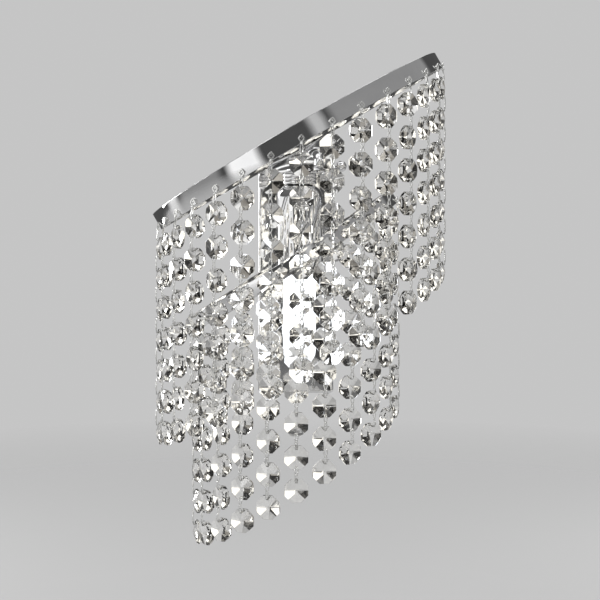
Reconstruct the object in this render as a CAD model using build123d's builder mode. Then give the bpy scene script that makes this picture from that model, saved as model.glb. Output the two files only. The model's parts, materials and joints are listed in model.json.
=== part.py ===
from build123d import *
from collections import namedtuple
from math import acos, asin, atan2, cos, degrees, hypot, radians, sin, tan
import os

os.makedirs("parts", exist_ok=True)

# Sizes in millimetres. The wall is the plane Y = 0, the light stands out towards -Y and +Z is up.
# The origin is on the wall, midway between the two wall screws.

# Octagon crystals and the clips that link them
bead_width = 14.0  # across the flats
bead_thickness = 6.0
bead_girdle = 2.1  # height of each upright side at its middle
bead_table = 2.0  # across the flats of the small flat in the middle of each face
bead_hole_radius = 1.0
bead_hole_inset = 2.0  # from the rim to the middle of the hole
bead_pitch = 19.5
beads_per_strand = 7
clip_thickness = 0.5
clip_width = 2.4  # across the two wide ends
clip_waist = 1.0
clip_overhang = 0.8  # past the middle of each prong
clip_clearance = 0.5  # between the clip and the crystal's face
prong_size = 0.6
hook_span = 9.8  # from the hole in the band to the top crystal's upper hole

# Wall box and the bracket behind it
box_width = 48.0
box_bottom = -81.0
box_depth = 22.0
box_wall = 1.2
box_chamfer = 0.7
bracket_thickness = 1.5
bracket_clearance = 0.3
wall_screw_spacing = 70.0
wall_hole_radius = 2.6
cable_hole_radius = 9.0
tab_height = 7.0
tab_depth = 13.0
tab_spacing = 129.0
side_screw_radius = 1.9
side_screw_head = 3.7
side_screw_neck_radius = 2.4
side_screw_neck = 2.6
side_screw_tail = 1.0  # past the tab's inner face
screw_clearance = 0.1

# Bands: a bowed strip at the front, closed by a straight bar across the wall box
band_thickness = 1.2
bar_thickness = 1.5
end_hook_gap = 3.0  # from the bar to the first hanging hole, outwards from the wall
hook_hole_edge = 2.8  # from the middle of the hole to the lower edge
hook_hole_radius = 1.1
upper_height = 11.4
upper_half_width = 102.3
upper_rise = 80.2
upper_tilt = 29.8
upper_x = 1.5
upper_z = 80.1
upper_strands = 15
lower_height = 9.4
lower_half_width = 74.0
lower_rise = 55.5
lower_tilt = 32.4
lower_x = -1.0
lower_z = 5.0
lower_strands = 11
box_top_margin = 1.6  # from the bar's upper edge down to the sloping top of the box
bar_screw_offset = 14.0
bar_screw_drop = 1.2  # below the bar's middle line
bar_screw_radius = 1.5
bar_screw_head = 2.7
bar_screw_head_height = 1.5
bar_nut_size = 5.5
bar_nut_thickness = 2.4

# Lamp: a bent arm beside the lamp's upright axis; hub, collar, sleeve and holder on it
lamp_x = 2.0
lamp_depth = 54.0
arm_x = 13.0
arm_z = 69.5
arm_depth = 50.0
arm_bend = 6.0
arm_radius = 4.0
arm_bore = 2.8
flange_radius = 7.0
flange_thickness = 2.2
arm_nut_size = 12.0
arm_nut_thickness = 3.5
arm_tail = 1.0  # past the nut, inside the box
hub_radius = 17.5
hub_rim = 2.5
hub_height = 7.0
hub_floor = 1.5  # under the channel for the lead
channel_width = 4.0
channel_height = 2.0
collar_radius = 10.5
collar_height = 6.5
collar_groove = 0.8
sleeve_radius = 14.2
sleeve_wall = 0.8
sleeve_length = 52.0
sleeve_bottom = 0.0
sleeve_shoulder = 6.5
nipple_radius = 5.0
nipple_bore = 3.6
nipple_in_holder = 6.0
fit_clearance = 0.05
holder_radius = 12.6
holder_length = 33.0
holder_socket_radius = 8.6
holder_socket_depth = 23.0
shell_wall = 1.3
shell_length = 20.0
shell_inset = 1.5  # from the holder's mouth
contact_radius = 2.2
contact_thickness = 0.8

# Bulb: a tubular lamp on a small screw cap
cap_radius = 6.95
cap_length = 18.0
cap_thread_depth = 0.55
cap_threads = 5
cap_tip_radius = 3.0
cap_tip_height = 3.2
cap_tip_gap = 0.6
bulb_radius = 10.0
bulb_length = 78.0
bulb_neck_radius = 6.4
bulb_shoulder = 9.0
glass_wall = 0.7
stem_radius = 2.6
stem_rounding = 0.6
stem_length = 20.0
filament_radius = 0.35
filament_foot = 1.2  # each side of the middle, where the wire leaves the stem
filament_foot_length = 3.0
filament_spread = 4.5  # each side, where it is widest
filament_shoulder = 7.0
filament_tip = 2.2  # each side, at the lower end
filament_length = 30.0
filament_bend = 1.0

# Wiring inside the box
block_width = 24.0
block_depth = 10.0
block_height = 12.0
block_z = 24.0
block_ways = 3
way_pitch = 8.0
way_radius = 1.6
way_screw_radius = 1.3
way_screw_length = 3.0
earth_x = -13.0
earth_z = -20.0
earth_screw_radius = 1.9
earth_head_radius = 3.6
earth_head_height = 2.2
earth_washer_radius = 4.6
earth_washer_thickness = 0.8
lead_radius = 0.8
lead_rise = 9.0  # straight up out of the block
lead_bend = 2.0
lead_arm_bend = 4.5

# Worked out from the sizes above
hole_offset = bead_width / 2 - bead_hole_inset
clip_span = bead_pitch - 2 * hole_offset
frame_front = box_depth + bar_thickness
first_hook = frame_front + end_hook_gap
half_side_angle = radians(22.5)  # from the middle of an octagon's side to its corner
crown_reach = bead_width / 2 * cos(half_side_angle) - bead_table / 2
crown_slope = (bead_thickness - bead_girdle) / 2 / crown_reach
crown_radius = bead_width / 2 / cos(half_side_angle) ** 2  # stands clear of the octagon's corners
clip_end_radius = hole_offset - clip_overhang
face_at_clip = bead_thickness / 2 - (clip_end_radius * cos(half_side_angle) - bead_table / 2) * crown_slope
clip_gap = face_at_clip + clip_clearance
bracket_width = box_width - 2 * (box_wall + bracket_clearance)
bracket_height = tab_spacing + tab_height
sleeve_top = sleeve_bottom + sleeve_length
hub_bottom = sleeve_top + collar_height
channel_bottom = hub_bottom + hub_floor
holder_top = sleeve_top - sleeve_wall
holder_bottom = holder_top - holder_length
socket_top = holder_bottom + holder_socket_depth
contact_bottom = socket_top - contact_thickness
cap_top = contact_bottom - cap_tip_gap - cap_tip_height
cap_bottom = cap_top - cap_length
shell_bottom = holder_bottom + shell_inset
shell_radius = holder_socket_radius - fit_clearance
lamp_axis = Plane(origin=(lamp_x, -lamp_depth, 0), x_dir=(1, 0, 0), z_dir=(0, 0, 1))

Tier = namedtuple("Tier", "name plane height tilt radius centre_depth end_angle strands")


def make_tier(name, x, z, height, tilt, half_width, rise, strands):
    """A band's sloping plane and the circle that its bow follows."""
    slope = radians(tilt)
    plane = Plane(origin=(x, 0, z), x_dir=(cos(slope), 0, sin(slope)), z_dir=(-sin(slope), 0, cos(slope)))
    radius = (half_width**2 + rise**2) / (2 * rise)
    centre_depth = first_hook + rise - radius
    return Tier(name, plane, height, slope, radius, centre_depth, asin(half_width / radius), strands)


def bar_half_width(tier):
    """Half the bar's length: out to the bow's outer face where the two meet."""
    outer = tier.radius + band_thickness / 2
    return outer * sin(acos((frame_front - tier.centre_depth) / outer))


def hook_angles(tier):
    step = 2 * tier.end_angle / (tier.strands - 1)
    return [step * n - tier.end_angle for n in range(tier.strands)]


def hook_point(tier, angle):
    """The middle of a hanging hole, near the band's lower edge."""
    local = Vector(
        tier.radius * sin(angle),
        -tier.centre_depth - tier.radius * cos(angle),
        hook_hole_edge - tier.height / 2,
    )
    return tier.plane.from_local_coords(local)


def hook_place(tier, angle):
    """A hanging hole's place, turned so that -Y points straight out from the bow."""
    turn = degrees(atan2(sin(angle) * cos(tier.tilt), cos(angle)))
    return Location(hook_point(tier, angle), (0, 0, turn))


def write(part, label):
    part.label = label
    export_step(part, f"parts/{label}.step")


upper = make_tier(
    "upper", upper_x, upper_z, upper_height, upper_tilt, upper_half_width, upper_rise, upper_strands
)
lower = make_tier(
    "lower", lower_x, lower_z, lower_height, lower_tilt, lower_half_width, lower_rise, lower_strands
)


# One octagon crystal: on each side eight facets that face its corners, round a small flat
with BuildPart() as bead:
    with BuildSketch(Plane.XZ):
        RegularPolygon(crown_radius, 8, major_radius=False)
    extrude(amount=bead_thickness / 2, both=True)
    for face in bead.faces().filter_by(Axis.Y):
        crown_width = crown_radius - bead_table / 2
        chamfer(face.edges(), crown_width, crown_width * crown_slope, reference=face)
    with BuildSketch(Plane.XZ):
        RegularPolygon(bead_width / 2, 8, major_radius=False, rotation=degrees(half_side_angle))
    extrude(amount=bead_thickness / 2, both=True, mode=Mode.INTERSECT)
    with BuildSketch(Plane.XZ):
        with Locations((0, hole_offset), (0, -hole_offset)):
            Circle(bead_hole_radius)
    extrude(amount=bead_thickness, both=True, mode=Mode.SUBTRACT)


def make_clip(span):
    """A bow-tie clip in front of two crystals, with a prong back through a hole at each end."""
    end = span / 2 + clip_overhang
    with BuildPart() as clip:
        with BuildSketch(Plane.XZ.offset(clip_gap)):
            with BuildLine():
                Polyline(
                    (clip_width / 2, end),
                    (-clip_width / 2, end),
                    (-clip_waist / 2, 0),
                    (-clip_width / 2, -end),
                    (clip_width / 2, -end),
                    (clip_waist / 2, 0),
                    close=True,
                )
            make_face()
        extrude(amount=clip_thickness)
        with BuildSketch(Plane.XZ.offset(clip_gap)):
            with Locations((0, span / 2), (0, -span / 2)):
                Rectangle(prong_size, prong_size)
        extrude(amount=-2 * clip_gap)
    return clip.part


link_clip = make_clip(clip_span)
hook_clip = make_clip(hook_span)


def make_bow(tier):
    """The bowed strip at the front of a band, with its hanging holes."""
    holes = []
    for angle in hook_angles(tier):
        straight_out = tier.plane.x_dir * sin(angle) - tier.plane.y_dir * cos(angle)
        holes.append(Plane(origin=hook_point(tier, angle), z_dir=straight_out).location)
    with BuildPart() as bow:
        with BuildSketch(tier.plane.offset(-tier.height / 2)):
            with Locations((0, -tier.centre_depth)):
                Circle(tier.radius + band_thickness / 2)
                Circle(tier.radius - band_thickness / 2, mode=Mode.SUBTRACT)
            with Locations((0, -frame_front)):
                Rectangle(
                    4 * tier.radius,
                    4 * tier.radius,
                    align=(Align.CENTER, Align.MAX),
                    mode=Mode.INTERSECT,
                )
        extrude(amount=tier.height)
        with Locations(*holes):
            Cylinder(hook_hole_radius, 4 * band_thickness, mode=Mode.SUBTRACT)
    write(bow.part, f"{tier.name}_bow")


def bar_screw_places(tier):
    """The two screws that hold a bar, as planes on the box's front face that face outwards."""
    return [
        Plane(
            origin=tier.plane.from_local_coords(
                Vector(side * bar_screw_offset, -box_depth, -bar_screw_drop)
            ),
            x_dir=tier.plane.x_dir,
            z_dir=(0, -1, 0),
        )
        for side in (-1, 1)
    ]


def make_bar(tier):
    """The straight bar across the wall box that closes a band, and its screws."""
    with BuildPart() as bar:
        with BuildSketch(tier.plane.offset(-tier.height / 2)):
            with Locations((0, -box_depth)):
                Rectangle(2 * bar_half_width(tier), bar_thickness, align=(Align.CENTER, Align.MAX))
        extrude(amount=tier.height)
        with Locations(*[place.location for place in bar_screw_places(tier)]):
            Cylinder(bar_screw_radius + screw_clearance, 4 * bar_thickness, mode=Mode.SUBTRACT)
    write(bar.part, f"{tier.name}_bar")
    with BuildPart() as screws:
        shank = bar_thickness + box_wall + bar_nut_thickness
        for place in bar_screw_places(tier):
            with BuildSketch(place.offset(bar_thickness)):
                Circle(bar_screw_head)
            extrude(amount=bar_screw_head_height)
            with BuildSketch(place.offset(bar_thickness)):
                Circle(bar_screw_radius)
            extrude(amount=-shank)
        head_rims = screws.edges().filter_by(GeomType.CIRCLE).group_by(Axis.Y)[0]
        fillet(head_rims, bar_screw_head_height * 0.6)
    write(screws.part, f"{tier.name}_bar_screws")


def make_hooks(tier):
    """The clips that hang each strand from the band, standing still with it."""
    with BuildPart() as hooks:
        with Locations(*[hook_place(tier, angle) for angle in hook_angles(tier)]):
            with Locations((0, 0, -hook_span / 2)):
                add(hook_clip)
    write(hooks.part, f"{tier.name}_hooks")


def make_strand(tier, number, angle):
    """Seven crystals and the six clips between them, hanging straight down from one hook."""
    top = -hook_span - hole_offset
    with BuildPart() as strand:
        with Locations(hook_place(tier, angle)):
            with Locations(*[(0, 0, top - n * bead_pitch) for n in range(beads_per_strand)]):
                add(bead.part)
            with Locations(*[(0, 0, top - (n + 0.5) * bead_pitch) for n in range(beads_per_strand - 1)]):
                add(link_clip)
    write(strand.part, f"{tier.name}_strand_{number:02d}")


for tier in (upper, lower):
    make_bow(tier)
    make_bar(tier)
    make_hooks(tier)
    for number, angle in enumerate(hook_angles(tier), start=1):
        make_strand(tier, number, angle)


# Nuts inside the wall box, on the four bar screws
with BuildPart() as bar_nuts:
    for tier in (upper, lower):
        for place in bar_screw_places(tier):
            with BuildSketch(place.offset(-box_wall)):
                RegularPolygon(bar_nut_size / 2, 6, major_radius=False)
                Circle(bar_screw_radius + fit_clearance, mode=Mode.SUBTRACT)
            extrude(amount=-bar_nut_thickness)
write(bar_nuts.part, "bar_nuts")


def box_outline(inset):
    """The wall box seen from the front: upright sides and a top that slopes with the upper band."""
    half = box_width / 2 - inset
    top = upper_z + (upper.height / 2 - box_top_margin - inset) / cos(upper.tilt)
    with BuildLine() as outline:
        Polyline(
            (-half, box_bottom + inset),
            (half, box_bottom + inset),
            (half, top + (half - upper_x) * tan(upper.tilt)),
            (-half, top - (half + upper_x) * tan(upper.tilt)),
            close=True,
        )
    return outline.line


side_screw_depth = (bracket_thickness + tab_depth) / 2
side_screw_places = [
    Plane(origin=(side * box_width / 2, -side_screw_depth, tab_spacing / 2), z_dir=(side, 0, 0))
    for side in (-1, 1)
]

# Wall box: mirror-chrome front and sides, open towards the wall
with BuildPart() as wall_box:
    with BuildSketch(Plane.XZ):
        make_face(box_outline(0))
    extrude(amount=box_depth)
    chamfer(wall_box.faces().sort_by(Axis.Y)[0].edges(), box_chamfer)
    with BuildSketch(Plane.XZ):
        make_face(box_outline(box_wall))
    extrude(amount=box_depth - box_wall, mode=Mode.SUBTRACT)
    with Locations(*[place.location for tier in (upper, lower) for place in bar_screw_places(tier)]):
        Cylinder(bar_screw_radius + screw_clearance, 4 * box_wall, mode=Mode.SUBTRACT)
    with Locations(*[place.location for place in side_screw_places]):
        Cylinder(side_screw_radius + screw_clearance, 4 * box_wall, mode=Mode.SUBTRACT)
    with BuildSketch(Plane.XZ.offset(box_depth)):
        with Locations((arm_x, arm_z)):
            Circle(arm_radius + screw_clearance)
    extrude(amount=-2 * box_wall, mode=Mode.SUBTRACT)
write(wall_box.part, "wall_box")

# Bracket: flat on the wall, with tabs up its sides; the side screws thread into the upper two
with BuildPart() as wall_bracket:
    with BuildSketch(Plane.XZ):
        Rectangle(bracket_width, bracket_height)
        with Locations((0, wall_screw_spacing / 2), (0, -wall_screw_spacing / 2)):
            Circle(wall_hole_radius, mode=Mode.SUBTRACT)
        Circle(cable_hole_radius, mode=Mode.SUBTRACT)
        with Locations((earth_x, earth_z)):
            Circle(earth_screw_radius + fit_clearance, mode=Mode.SUBTRACT)
    extrude(amount=bracket_thickness)
    with BuildSketch(Plane.XZ.offset(bracket_thickness)):
        for side in (-1, 1):
            edge = side * (bracket_width - bracket_thickness) / 2
            with Locations((edge, tab_spacing / 2), (edge, -tab_spacing / 2)):
                Rectangle(bracket_thickness, tab_height)
    extrude(amount=tab_depth - bracket_thickness)
    with Locations(*[place.location for place in side_screw_places]):
        Cylinder(side_screw_radius + fit_clearance, 4 * (box_wall + bracket_thickness), mode=Mode.SUBTRACT)
write(wall_bracket.part, "wall_bracket")

# Side screws: a ball on a short neck outside the box, a thread through the tab inside
with BuildPart() as side_screws:
    for place in side_screw_places:
        with Locations(place.offset(side_screw_neck + side_screw_head * 0.75).location):
            Sphere(side_screw_head)
        with BuildSketch(place):
            Circle(side_screw_neck_radius)
        extrude(amount=side_screw_neck + side_screw_head / 2)
        with BuildSketch(place):
            Circle(side_screw_radius)
        extrude(amount=-(box_wall + bracket_clearance + bracket_thickness + side_screw_tail))
write(side_screws.part, "side_screws")

# Three-way terminal block on the bracket, with two screws in each way
block_front = bracket_thickness + block_depth
way_places = [(way_pitch * (n - (block_ways - 1) / 2), block_z) for n in range(block_ways)]
way_screw_spots = [(x, z + side * block_height / 4) for x, z in way_places for side in (-1, 1)]
with BuildPart() as terminal_block:
    with BuildSketch(Plane.XZ.offset(bracket_thickness)):
        with Locations((0, block_z)):
            RectangleRounded(block_width, block_height, 1.0)
    extrude(amount=block_depth)
    with BuildSketch(Plane.XY.offset(block_z - block_height / 2)):
        with Locations(*[(x, -bracket_thickness - block_depth / 2) for x, z in way_places]):
            Circle(way_radius)
    extrude(amount=block_height, mode=Mode.SUBTRACT)
    with BuildSketch(Plane.XZ.offset(block_front)):
        with Locations(*way_screw_spots):
            Circle(way_screw_radius + fit_clearance)
    extrude(amount=-block_depth / 2, mode=Mode.SUBTRACT)
write(terminal_block.part, "terminal_block")

with BuildPart() as terminal_screws:
    with BuildSketch(Plane.XZ.offset(block_front)):
        with Locations(*way_screw_spots):
            Circle(way_screw_radius)
    extrude(amount=-way_screw_length)
write(terminal_screws.part, "terminal_screws")

with BuildPart() as earth_screw:
    with BuildSketch(Plane.XZ):
        with Locations((earth_x, earth_z)):
            Circle(earth_screw_radius)
    extrude(amount=bracket_thickness + earth_washer_thickness)
    with BuildSketch(Plane.XZ.offset(bracket_thickness + earth_washer_thickness)):
        with Locations((earth_x, earth_z)):
            Circle(earth_head_radius)
    extrude(amount=earth_head_height)
    with BuildSketch(Plane.XZ.offset(bracket_thickness + earth_washer_thickness + earth_head_height)):
        with Locations((earth_x, earth_z)):
            Rectangle(2 * earth_head_radius, 1.0)
    extrude(amount=-earth_head_height / 2, mode=Mode.SUBTRACT)
write(earth_screw.part, "earth_screw")

with BuildPart() as earth_washer:
    with BuildSketch(Plane.XZ.offset(bracket_thickness)):
        with Locations((earth_x, earth_z)):
            Circle(earth_washer_radius)
            Circle(earth_screw_radius + fit_clearance, mode=Mode.SUBTRACT)
    extrude(amount=earth_washer_thickness)
write(earth_washer.part, "earth_washer")

# Arm: a tube out of the box that bends down into the hub, with a flange outside and a nut inside
arm_start = box_depth - box_wall - arm_nut_thickness - arm_tail
channel_top = channel_bottom + channel_height
with BuildPart() as lamp_arm:
    with BuildLine() as arm_route:
        FilletPolyline(
            (arm_x, -arm_start, arm_z),
            (arm_x, -arm_depth, arm_z),
            (arm_x, -arm_depth, channel_top),
            radius=arm_bend,
        )
    with BuildSketch(Plane(origin=arm_route.line @ 0, z_dir=arm_route.line % 0)):
        Circle(arm_radius)
        Circle(arm_bore, mode=Mode.SUBTRACT)
    sweep(path=arm_route.line)
write(lamp_arm.part, "lamp_arm")

with BuildPart() as arm_flange:
    with BuildSketch(Plane.XZ.offset(box_depth)):
        with Locations((arm_x, arm_z)):
            Circle(flange_radius)
    extrude(amount=flange_thickness)
    fillet(arm_flange.faces().sort_by(Axis.Y)[0].edges(), flange_thickness * 0.6)
    with BuildSketch(Plane.XZ.offset(box_depth)):
        with Locations((arm_x, arm_z)):
            Circle(arm_radius + fit_clearance)
    extrude(amount=flange_thickness, mode=Mode.SUBTRACT)
write(arm_flange.part, "arm_flange")

with BuildPart() as arm_nut:
    with BuildSketch(Plane.XZ.offset(box_depth - box_wall)):
        with Locations((arm_x, arm_z)):
            RegularPolygon(arm_nut_size / 2, 6, major_radius=False)
            Circle(arm_radius + fit_clearance, mode=Mode.SUBTRACT)
    extrude(amount=-arm_nut_thickness)
write(arm_nut.part, "arm_nut")

# Hub: a low dome, bored for the arm and the nipple, with a channel for the lead between the two
with BuildPart() as lamp_hub:
    with BuildSketch(Plane(origin=(lamp_x, -lamp_depth, 0), x_dir=(1, 0, 0), z_dir=(0, -1, 0))):
        with BuildLine():
            dome = TangentArc(
                (0, hub_bottom + hub_height),
                (hub_radius, hub_bottom + hub_rim),
                tangent=(1, 0),
            )
            Polyline(dome @ 1, (hub_radius, hub_bottom), (0, hub_bottom), dome @ 0)
        make_face()
    revolve(axis=Axis((lamp_x, -lamp_depth, 0), (0, 0, 1)))
    with BuildSketch(lamp_axis.offset(hub_bottom)):
        Circle(nipple_radius + fit_clearance)
    extrude(amount=channel_top - hub_bottom, mode=Mode.SUBTRACT)
    with BuildSketch(Plane.XY.offset(channel_top)):
        with Locations((arm_x, -arm_depth)):
            Circle(arm_radius + fit_clearance)
    extrude(amount=hub_height, mode=Mode.SUBTRACT)
    with BuildSketch(Plane.XY.offset(channel_bottom)):
        with Locations(((arm_x + lamp_x) / 2, -(arm_depth + lamp_depth) / 2)):
            SlotCenterToCenter(
                hypot(arm_x - lamp_x, lamp_depth - arm_depth),
                channel_width,
                rotation=degrees(atan2(lamp_depth - arm_depth, arm_x - lamp_x)),
            )
    extrude(amount=channel_height, mode=Mode.SUBTRACT)
write(lamp_hub.part, "lamp_hub")

with BuildPart() as collar:
    with BuildSketch(lamp_axis.offset(sleeve_top)):
        Circle(collar_radius)
        Circle(nipple_radius + fit_clearance, mode=Mode.SUBTRACT)
    extrude(amount=collar_height)
    for share in (1 / 3, 2 / 3):
        with BuildSketch(lamp_axis.offset(sleeve_top + collar_height * share - collar_groove / 2)):
            Circle(collar_radius)
            Circle(collar_radius - collar_groove, mode=Mode.SUBTRACT)
        extrude(amount=collar_groove, mode=Mode.SUBTRACT)
write(collar.part, "collar")

# Sleeve: a thin round-shouldered chrome tube, closed at the top but for the nipple's hole
with BuildPart() as lamp_sleeve:
    with BuildSketch(lamp_axis.offset(sleeve_bottom)):
        Circle(sleeve_radius)
    extrude(amount=sleeve_length)
    fillet(lamp_sleeve.edges().filter_by(GeomType.CIRCLE).sort_by(Axis.Z)[-1], sleeve_shoulder)
    mouth = lamp_sleeve.faces().sort_by(Axis.Z)[0]
    offset(amount=-sleeve_wall, openings=mouth)
    with BuildSketch(lamp_axis.offset(sleeve_top)):
        Circle(nipple_radius + screw_clearance)
    extrude(amount=-2 * sleeve_wall, mode=Mode.SUBTRACT)
write(lamp_sleeve.part, "lamp_sleeve")

with BuildPart() as nipple:
    with BuildSketch(lamp_axis.offset(holder_top - nipple_in_holder)):
        Circle(nipple_radius)
        Circle(nipple_bore, mode=Mode.SUBTRACT)
    extrude(amount=channel_bottom - holder_top + nipple_in_holder)
write(nipple.part, "threaded_nipple")

# Holder: the moulded insert in the sleeve, its screw shell and its centre contact
with BuildPart() as lamp_holder:
    with BuildSketch(lamp_axis.offset(holder_bottom)):
        Circle(holder_radius)
    extrude(amount=holder_length)
    fillet(lamp_holder.edges().filter_by(GeomType.CIRCLE).sort_by(Axis.Z)[-1], sleeve_shoulder)
    with BuildSketch(lamp_axis.offset(holder_bottom)):
        Circle(holder_socket_radius)
    extrude(amount=holder_socket_depth, mode=Mode.SUBTRACT)
    with BuildSketch(lamp_axis.offset(holder_top)):
        Circle(nipple_radius + fit_clearance)
    extrude(amount=-nipple_in_holder, mode=Mode.SUBTRACT)
write(lamp_holder.part, "lamp_holder")

with BuildPart() as screw_shell:
    with BuildSketch(lamp_axis.offset(shell_bottom)):
        Circle(shell_radius)
        Circle(shell_radius - shell_wall, mode=Mode.SUBTRACT)
    extrude(amount=shell_length)
write(screw_shell.part, "screw_shell")

with BuildPart() as centre_contact:
    with BuildSketch(lamp_axis.offset(contact_bottom)):
        Circle(contact_radius)
    extrude(amount=contact_thickness)
write(centre_contact.part, "centre_contact")

# Two-core lead from the terminal block, up behind the arm, through it and down the nipple
lead_depth = bracket_thickness + block_depth / 2
lead_height = channel_bottom + channel_height / 2
with BuildPart() as lamp_lead:
    with BuildLine() as lead_route:
        FilletPolyline(
            (0, -lead_depth, block_z + block_height / 2),
            (0, -lead_depth, block_z + block_height / 2 + lead_rise),
            (arm_x, -lead_depth, arm_z),
            (arm_x, -arm_depth, arm_z),
            (arm_x, -arm_depth, lead_height),
            (lamp_x, -lamp_depth, lead_height),
            (lamp_x, -lamp_depth, holder_top - nipple_in_holder + lead_radius),
            radius=[lead_bend, lead_bend, lead_arm_bend, lead_bend, lead_bend],
        )
    with BuildSketch(Plane(origin=lead_route.line @ 0, z_dir=lead_route.line % 0)):
        Circle(lead_radius)
    sweep(path=lead_route.line)
write(lamp_lead.part, "lamp_lead")

# Bulb cap: a thin metal skirt whose rolled thread is drawn as rings, and an insulated tip above it
ring_pitch = cap_length * 0.75 / cap_threads
with BuildPart() as bulb_cap:
    with BuildSketch(lamp_axis.offset(cap_bottom)):
        Circle(cap_radius)
    extrude(amount=cap_length)
    for n in range(cap_threads):
        with BuildSketch(lamp_axis.offset(cap_bottom + cap_length * 0.22 + n * ring_pitch)):
            Circle(cap_radius)
            Circle(cap_radius - cap_thread_depth, mode=Mode.SUBTRACT)
        extrude(amount=ring_pitch / 2, mode=Mode.SUBTRACT)
write(bulb_cap.part, "bulb_cap")

with BuildPart() as cap_tip:
    with BuildSketch(lamp_axis.offset(cap_top)):
        Circle(cap_radius - cap_thread_depth)
    with BuildSketch(lamp_axis.offset(cap_top + cap_tip_height)):
        Circle(cap_tip_radius)
    loft()
write(cap_tip.part, "bulb_tip")

# Bulb glass: a plain tube with a rounded end, drawn in to a neck that sits on the cap
bulb_end = cap_bottom - bulb_length
with BuildPart() as bulb_glass:
    with BuildSketch(Plane(origin=(lamp_x, -lamp_depth, 0), x_dir=(1, 0, 0), z_dir=(0, -1, 0))):
        with BuildLine():
            neck = Line((0, cap_bottom), (bulb_neck_radius, cap_bottom))
            waist = Spline(
                neck @ 1,
                (bulb_radius, cap_bottom - bulb_shoulder),
                tangents=((0, -1), (0, -1)),
            )
            side_line = Line(waist @ 1, (bulb_radius, bulb_end + bulb_radius))
            RadiusArc(side_line @ 1, (0, bulb_end), bulb_radius)
            Line((0, bulb_end), (0, cap_bottom))
        make_face()
    revolve(axis=Axis((lamp_x, -lamp_depth, 0), (0, 0, 1)))
    offset(amount=-glass_wall, openings=bulb_glass.faces().sort_by(Axis.Z)[-1])
write(bulb_glass.part, "bulb_glass")

with BuildPart() as bulb_stem:
    with BuildSketch(lamp_axis.offset(cap_bottom)):
        Circle(stem_radius)
    extrude(amount=-stem_length)
    fillet(bulb_stem.edges().filter_by(GeomType.CIRCLE).sort_by(Axis.Z)[0], stem_rounding)
write(bulb_stem.part, "bulb_stem")

# Filament: one wire from the stem's end, out and down and back up again
filament_top = cap_bottom - stem_length
filament_half = [
    (filament_foot, filament_top),
    (filament_foot, filament_top - filament_foot_length),
    (filament_spread, filament_top - filament_foot_length - filament_shoulder),
    (filament_tip, filament_top - filament_length),
]
filament_points = [(-x, z) for x, z in filament_half] + filament_half[::-1]
with BuildPart() as filament:
    with BuildLine() as wire:
        FilletPolyline(*[(lamp_x + x, -lamp_depth, z) for x, z in filament_points], radius=filament_bend)
    with BuildSketch(Plane(origin=wire.line @ 0, z_dir=wire.line % 0)):
        Circle(filament_radius)
    sweep(path=wire.line)
write(filament.part, "filament")
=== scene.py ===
import json
from math import acos, atan, cos, pi, radians, sin, sqrt

import bmesh
import bpy
import numpy as np
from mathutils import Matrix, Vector


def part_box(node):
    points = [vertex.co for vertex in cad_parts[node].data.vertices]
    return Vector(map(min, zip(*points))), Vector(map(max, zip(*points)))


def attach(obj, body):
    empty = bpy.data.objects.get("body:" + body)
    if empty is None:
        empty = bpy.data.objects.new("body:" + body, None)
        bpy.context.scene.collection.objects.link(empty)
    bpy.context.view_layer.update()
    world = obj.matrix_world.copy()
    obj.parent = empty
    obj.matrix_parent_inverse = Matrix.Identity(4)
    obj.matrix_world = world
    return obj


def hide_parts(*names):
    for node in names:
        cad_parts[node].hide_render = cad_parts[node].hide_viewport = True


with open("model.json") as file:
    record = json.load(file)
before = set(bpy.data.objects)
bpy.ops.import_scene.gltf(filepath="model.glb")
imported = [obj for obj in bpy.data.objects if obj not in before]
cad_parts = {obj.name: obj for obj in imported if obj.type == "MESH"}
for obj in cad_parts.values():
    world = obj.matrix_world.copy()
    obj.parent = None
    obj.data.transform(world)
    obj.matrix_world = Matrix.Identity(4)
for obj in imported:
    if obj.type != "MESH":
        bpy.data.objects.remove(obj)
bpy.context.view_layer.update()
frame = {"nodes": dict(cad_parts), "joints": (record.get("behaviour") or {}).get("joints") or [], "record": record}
millimetre = 0.001  # the pieces' sizes below are in millimetres, and their meshes in metres
upright = np.array([0.0, 0.0, 1.0])


# Camera: a level lens in front of the wall, shifted so that the light sits as in the picture
view = {
    "place": (-0.0031, -0.7715, 0.040),
    "focalPixels": 1173.0,  # the lens's length, in picture pixels
    "picture": 600.0,  # pixels across and down
    "middle": (291.0, 204.0),  # where the lens points, in picture pixels from the top left
    "sensor": 36.0,
    "nearest": 0.01,
}


def addCamera():
    lens = bpy.data.cameras.new("frontCamera")
    lens.sensor_width = view["sensor"]
    lens.lens = view["focalPixels"] / view["picture"] * view["sensor"]
    lens.shift_x = 0.5 - view["middle"][0] / view["picture"]
    lens.shift_y = view["middle"][1] / view["picture"] - 0.5
    lens.clip_start = view["nearest"]
    camera = bpy.data.objects.new("frontCamera", lens)
    camera.location = view["place"]
    camera.rotation_euler = (radians(90), 0, 0)  # looks along +Y
    bpy.context.scene.collection.objects.link(camera)
    bpy.context.scene.camera = camera


addCamera()
print("camera set")


# Shader helpers
def newMaterial(name):
    material = bpy.data.materials.new(name)
    material.use_nodes = True
    return material, material.node_tree, material.node_tree.nodes["Principled BSDF"]


def objectNoise(tree, scale, detail=3.0, stretch=(1.0, 1.0, 1.0)):
    # noise on Object coordinates; stretch squeezes it along the axes
    place = tree.nodes.new("ShaderNodeTexCoord")
    mapping = tree.nodes.new("ShaderNodeMapping")
    mapping.inputs["Scale"].default_value = stretch
    noise = tree.nodes.new("ShaderNodeTexNoise")
    noise.inputs["Scale"].default_value = scale
    noise.inputs["Detail"].default_value = detail
    tree.links.new(place.outputs["Object"], mapping.inputs["Vector"])
    tree.links.new(mapping.outputs["Vector"], noise.inputs["Vector"])
    return noise.outputs["Fac"]


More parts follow.
